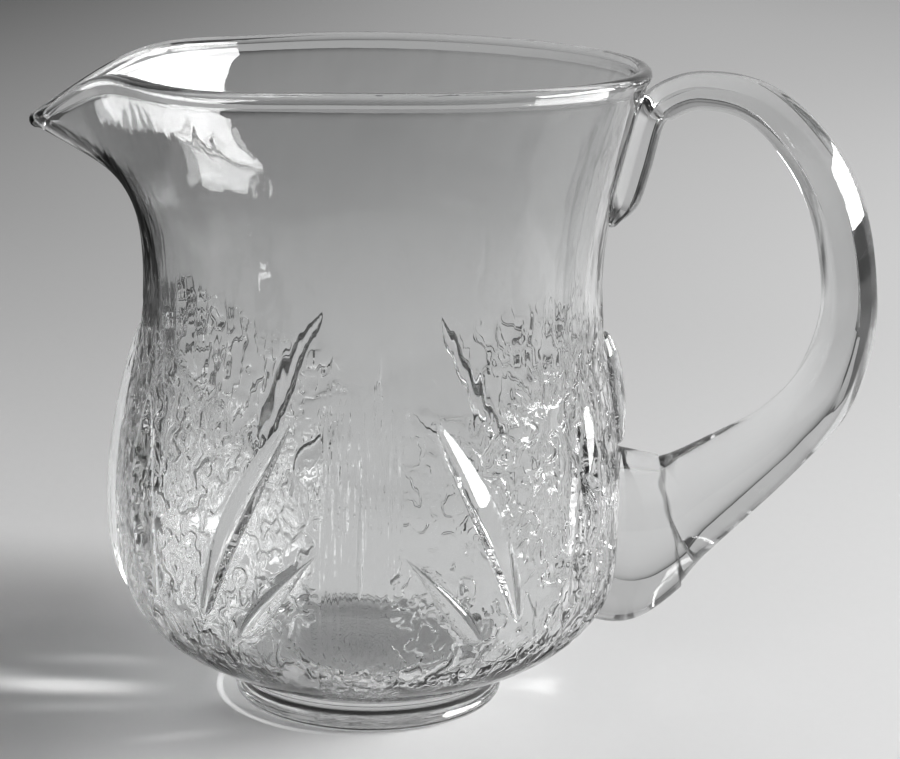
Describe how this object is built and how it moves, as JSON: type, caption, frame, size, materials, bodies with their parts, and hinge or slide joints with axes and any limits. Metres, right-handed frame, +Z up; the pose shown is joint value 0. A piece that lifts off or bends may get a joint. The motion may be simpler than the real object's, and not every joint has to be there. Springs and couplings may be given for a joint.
{
  "type": "pitcher",
  "caption": "Clear glass table pitcher with a pulled pouring lip, a loop handle on a boss, a disc foot and pointed raised blades on its rounded lower half.",
  "frame": {"origin": "centre of the foot's flat underside, on the bowl's axis", "axes": "+Z up along the bowl's axis, +X from the bowl towards the handle with the spout towards -X, +Y away from the picture's viewer"},
  "size_m": [0.2343, 0.1498, 0.18],
  "materials": {
    "clear_glass": "clear, fire-polished"
  },
  "bodies": {
    "root": {"bowl": "clear_glass", "foot": "clear_glass", "handle_boss": "clear_glass", "handle": "clear_glass", "blade_tall_spout": "clear_glass", "blade_tall_handle_upper": "clear_glass", "blade_tall_handle_lower": "clear_glass", "blade_upright_front_spout": "clear_glass", "blade_upright_front_handle": "clear_glass", "blade_upright_back_spout": "clear_glass", "blade_upright_back_handle": "clear_glass", "blade_slant_front_spout": "clear_glass", "blade_slant_front_handle": "clear_glass", "blade_slant_back_spout": "clear_glass", "blade_slant_back_handle": "clear_glass", "blade_short_front_spout": "clear_glass", "blade_short_front_handle": "clear_glass", "blade_short_back_spout": "clear_glass", "blade_short_back_handle": "clear_glass", "midrib_front": "clear_glass", "midrib_back": "clear_glass"}
  },
  "joints": []
}
